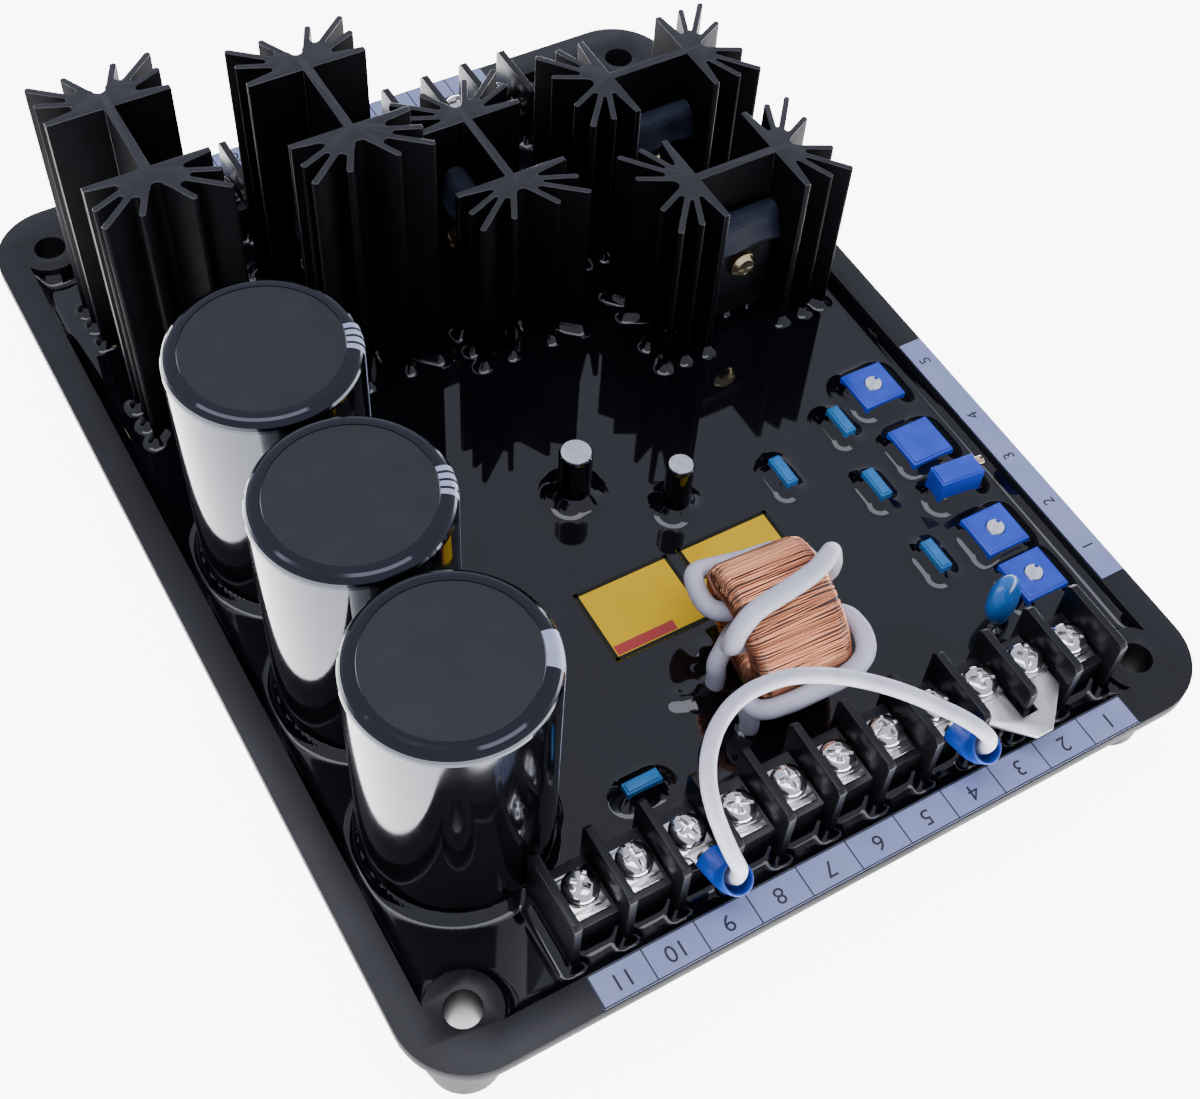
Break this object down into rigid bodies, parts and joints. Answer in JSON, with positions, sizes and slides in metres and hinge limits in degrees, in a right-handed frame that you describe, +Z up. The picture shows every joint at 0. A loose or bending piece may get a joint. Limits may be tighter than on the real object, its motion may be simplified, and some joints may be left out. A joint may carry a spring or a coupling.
{
  "type": "automatic voltage regulator",
  "caption": "Potted generator voltage regulator in a moulded tray, with smoothing capacitors, finned heat sinks, barrier terminal strips, a current transformer and trimmers.",
  "frame": {"origin": "middle of the tray, on the plane of its four feet", "axes": "+X right along the front terminal strip, +Y to the back, +Z up"},
  "size_m": [0.16, 0.21, 0.0751],
  "materials": {
    "tray_plastic": "satin black moulding",
    "board_laminate": "green laminate, hidden under the resin",
    "potting_resin": "glossy black cast resin",
    "bare_aluminium": "bare can",
    "black_sleeve": "shrunk black sleeve",
    "sleeve_disc": "fine-grained black disc",
    "black_anodised": "black anodised extrusion",
    "device_epoxy": "moulded black epoxy",
    "silicone_pad": "grey-blue insulating pad",
    "small_brass": "plain brass",
    "strip_plastic": "moulded black thermoplastic",
    "nickel_plate": "bright nickel plate",
    "tinned_brass": "tinned, satin",
    "wire_silicone": "white silicone",
    "blue_sleeve": "translucent-looking blue vinyl",
    "ferrite": "grey core, hidden by its winding",
    "enamelled_copper": "enamelled copper, close wound",
    "film_case": "mid-blue moulded case",
    "disc_coating": "blue dipped coating",
    "amber_coating": "amber dipped coating",
    "trimmer_blue": "blue moulded case",
    "dial_white": "white dial",
    "strip_label": "printed lilac film",
    "yellow_label": "printed yellow film"
  },
  "bodies": {
    "regulator": {"tray": "tray_plastic", "circuit_board": "board_laminate", "potting": "potting_resin", "capacitor_can_1": "bare_aluminium", "capacitor_can_2": "bare_aluminium", "capacitor_can_3": "bare_aluminium", "capacitor_sleeve_1": "black_sleeve", "capacitor_sleeve_2": "black_sleeve", "capacitor_sleeve_3": "black_sleeve", "capacitor_disc_1": "sleeve_disc", "capacitor_disc_2": "sleeve_disc", "capacitor_disc_3": "sleeve_disc", "heat_sink_1": "black_anodised", "heat_sink_2": "black_anodised", "heat_sink_3": "black_anodised", "heat_sink_4": "black_anodised", "heat_sink_5": "black_anodised", "power_devices": "device_epoxy", "insulating_pads": "silicone_pad", "device_screws": "small_brass", "front_terminal_block": "strip_plastic", "front_terminal_plates": "nickel_plate", "front_clamp_plates": "nickel_plate", "front_terminal_screws": "nickel_plate", "back_terminal_block": "strip_plastic", "back_terminal_plates": "nickel_plate", "back_clamp_plates": "nickel_plate", "back_terminal_screws": "nickel_plate", "shorting_link": "tinned_brass", "jumper_wire": "wire_silicone", "jumper_lug_left": "tinned_brass", "jumper_lug_right": "tinned_brass", "crimp_sleeve_left": "blue_sleeve", "crimp_sleeve_right": "blue_sleeve", "transformer_core": "ferrite", "transformer_winding": "enamelled_copper", "primary_wire": "wire_silicone", "control_capacitor_can_1": "bare_aluminium", "control_capacitor_can_2": "bare_aluminium", "control_capacitor_sleeve_1": "black_sleeve", "control_capacitor_sleeve_2": "black_sleeve", "film_capacitors": "film_case", "disc_capacitor": "disc_coating", "dipped_capacitor": "amber_coating", "trimmer_housing_1": "trimmer_blue", "trimmer_housing_2": "trimmer_blue", "trimmer_housing_3": "trimmer_blue", "covered_trimmer": "trimmer_blue", "multiturn_housing": "trimmer_blue", "front_label": "strip_label", "back_label": "strip_label", "side_label": "strip_label", "notice_label_left": "yellow_label", "notice_label_right": "yellow_label"},
    "dial_1": {"trimmer_dial_1": "dial_white"},
    "dial_2": {"trimmer_dial_2": "dial_white"},
    "dial_3": {"trimmer_dial_3": "dial_white"},
    "adjuster": {"adjusting_screw": "small_brass"}
  },
  "joints": [
    {"name": "dial_1_turn", "type": "hinge", "parent": "regulator", "child": "dial_1", "pos_m": [0.0641, -0.0698, 0.021], "axis": [0, 0, 1], "range_deg": [-135, 135]},
    {"name": "dial_2_turn", "type": "hinge", "parent": "regulator", "child": "dial_2", "pos_m": [0.0641, -0.0579, 0.021], "axis": [0, 0, 1], "range_deg": [-135, 135]},
    {"name": "dial_3_turn", "type": "hinge", "parent": "regulator", "child": "dial_3", "pos_m": [0.0641, -0.0171, 0.021], "axis": [0, 0, 1], "range_deg": [-135, 135]},
    {"name": "adjuster_turn", "type": "hinge", "parent": "regulator", "child": "adjuster", "pos_m": [0.06831, -0.04472, 0.0237], "axis": [0.9962, -0.0872, 0], "continuous": true}
  ]
}
